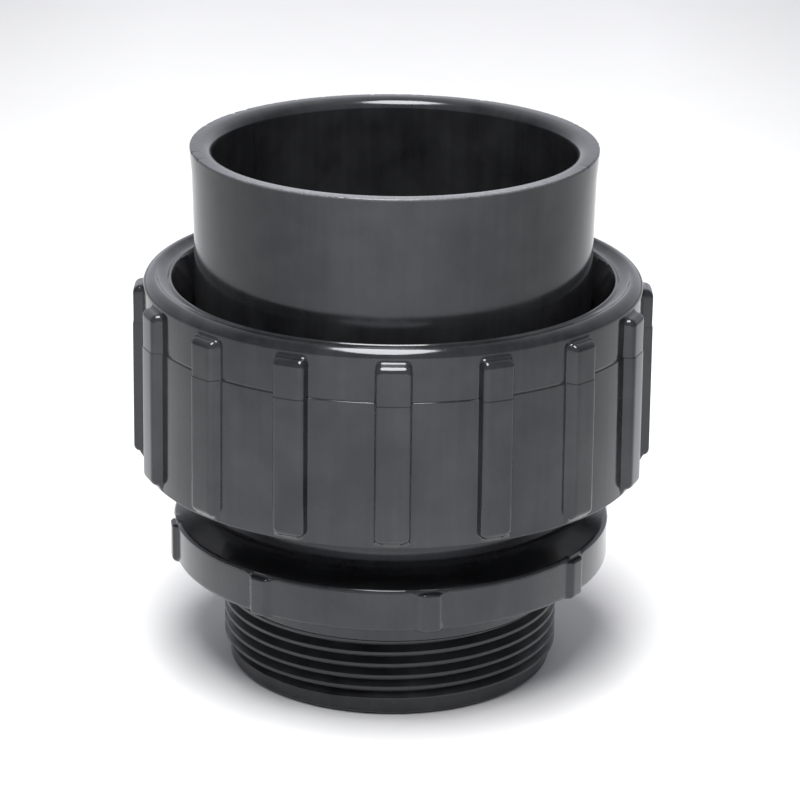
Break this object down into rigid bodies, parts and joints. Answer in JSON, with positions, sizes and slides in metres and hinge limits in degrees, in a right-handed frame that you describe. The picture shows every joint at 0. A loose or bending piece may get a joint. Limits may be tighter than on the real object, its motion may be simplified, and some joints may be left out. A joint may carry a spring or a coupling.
{
  "type": "pipe union",
  "caption": "Straight plastic pipe union: socket tailpiece, ribbed union nut, O-ring face seal and a male threaded body with a lugged grip flange.",
  "frame": {"origin": "centre of the male thread's end face, at the lowest point", "axes": "+Z along the pipe axis from the male end to the socket, -Y towards the front"},
  "size_m": [0.0922, 0.0922, 0.0956],
  "materials": {
    "pvc_body": "moulded black PVC, semi-gloss",
    "pvc_tail": "moulded black PVC, satin to semi-gloss",
    "pvc_nut": "moulded black PVC, semi-gloss with a parting line",
    "seal_rubber": "matt black rubber"
  },
  "bodies": {
    "threaded_body": {"threaded_body": "pvc_body", "o_ring": "seal_rubber"},
    "tailpiece": {"tailpiece": "pvc_tail"},
    "union_nut": {"union_nut": "pvc_nut"}
  },
  "joints": [
    {"name": "tail_lift", "type": "slide", "parent": "threaded_body", "child": "tailpiece", "axis": [0, 0, 1], "range_m": [0, 0.01605]},
    {"name": "nut_unscrew", "type": "hinge", "parent": "tailpiece", "child": "union_nut", "pos_m": [0, 0, 0.055], "axis": [0, 0, 1], "range_deg": [0, 1440]}
  ],
  "couplings": [
    {"joint": "tail_lift", "follows": "nut_unscrew", "m_per_rad": 0.00063662}
  ]
}
